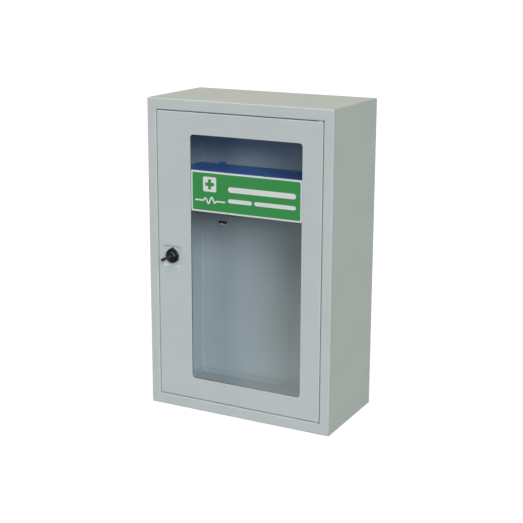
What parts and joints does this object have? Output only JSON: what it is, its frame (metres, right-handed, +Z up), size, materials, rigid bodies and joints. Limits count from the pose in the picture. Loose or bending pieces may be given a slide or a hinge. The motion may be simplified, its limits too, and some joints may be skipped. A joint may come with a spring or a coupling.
{
  "type": "defibrillator cabinet",
  "caption": "Glazed steel wall cabinet for a defibrillator, with a hinged door, a lever lock, a green sign across the window and a shelf inside.",
  "frame": {"origin": "middle of the carcass's underside, on the face that it stands on", "axes": "+Z up, along the cabinet's height; -Y is the way the door faces and +Y points to the wall; +X is the hinge side"},
  "size_m": [0.45, 0.26, 0.71],
  "materials": {
    "grey_paint": "light grey powder coat, satin",
    "blue_paint": "blue powder coat, satin",
    "zinc_steel": "bright zinc plate",
    "black_plastic": "fine moulded texture",
    "natural_nylon": "plain moulded",
    "black_rubber": "matt",
    "clear_pane": "clear, polished",
    "sign_white": "printed film, satin",
    "sign_green": "printed film, satin"
  },
  "bodies": {
    "cabinet": {"top_tray": "grey_paint", "bottom_tray": "grey_paint", "left_side": "grey_paint", "right_side": "grey_paint", "back_panel": "grey_paint", "shelf": "blue_paint", "slot_plug_left": "black_plastic", "slot_plug_right": "black_plastic", "shelf_bracket_left": "grey_paint", "shelf_bracket_right": "grey_paint", "upper_pivot_pin": "zinc_steel", "lower_pivot_pin": "zinc_steel", "door_buffer_upper": "black_rubber", "door_buffer_lower": "black_rubber"},
    "door": {"door_panel": "grey_paint", "upper_pivot_plate": "zinc_steel", "lower_pivot_plate": "zinc_steel", "upper_pivot_bush": "natural_nylon", "lower_pivot_bush": "natural_nylon", "glazing_gasket": "black_rubber", "glazing_pane": "clear_pane", "pane_retainer_left": "grey_paint", "pane_retainer_right": "grey_paint", "pane_retainer_top": "grey_paint", "pane_retainer_bottom": "grey_paint", "retainer_nut_1": "zinc_steel", "retainer_nut_2": "zinc_steel", "retainer_nut_3": "zinc_steel", "retainer_nut_4": "zinc_steel", "retainer_nut_5": "zinc_steel", "retainer_nut_6": "zinc_steel", "retainer_nut_7": "zinc_steel", "retainer_nut_8": "zinc_steel", "sign_backing": "sign_white", "sign_field": "sign_green", "lock_body": "black_plastic", "lock_nut": "zinc_steel"},
    "lock_rotor": {"lock_lever": "black_plastic", "lock_spindle": "zinc_steel", "lock_cam": "zinc_steel", "cam_washer": "zinc_steel", "cam_screw": "zinc_steel"}
  },
  "joints": [
    {"name": "door_hinge", "type": "hinge", "parent": "cabinet", "child": "door", "pos_m": [0.194, -0.1095, 0.355], "axis": [0, 0, 1], "range_deg": [0, 110]},
    {"name": "lock_turn", "type": "hinge", "parent": "door", "child": "lock_rotor", "pos_m": [-0.1655, -0.115, 0.357], "axis": [0, 1, 0], "range_deg": [0, 90]}
  ]
}
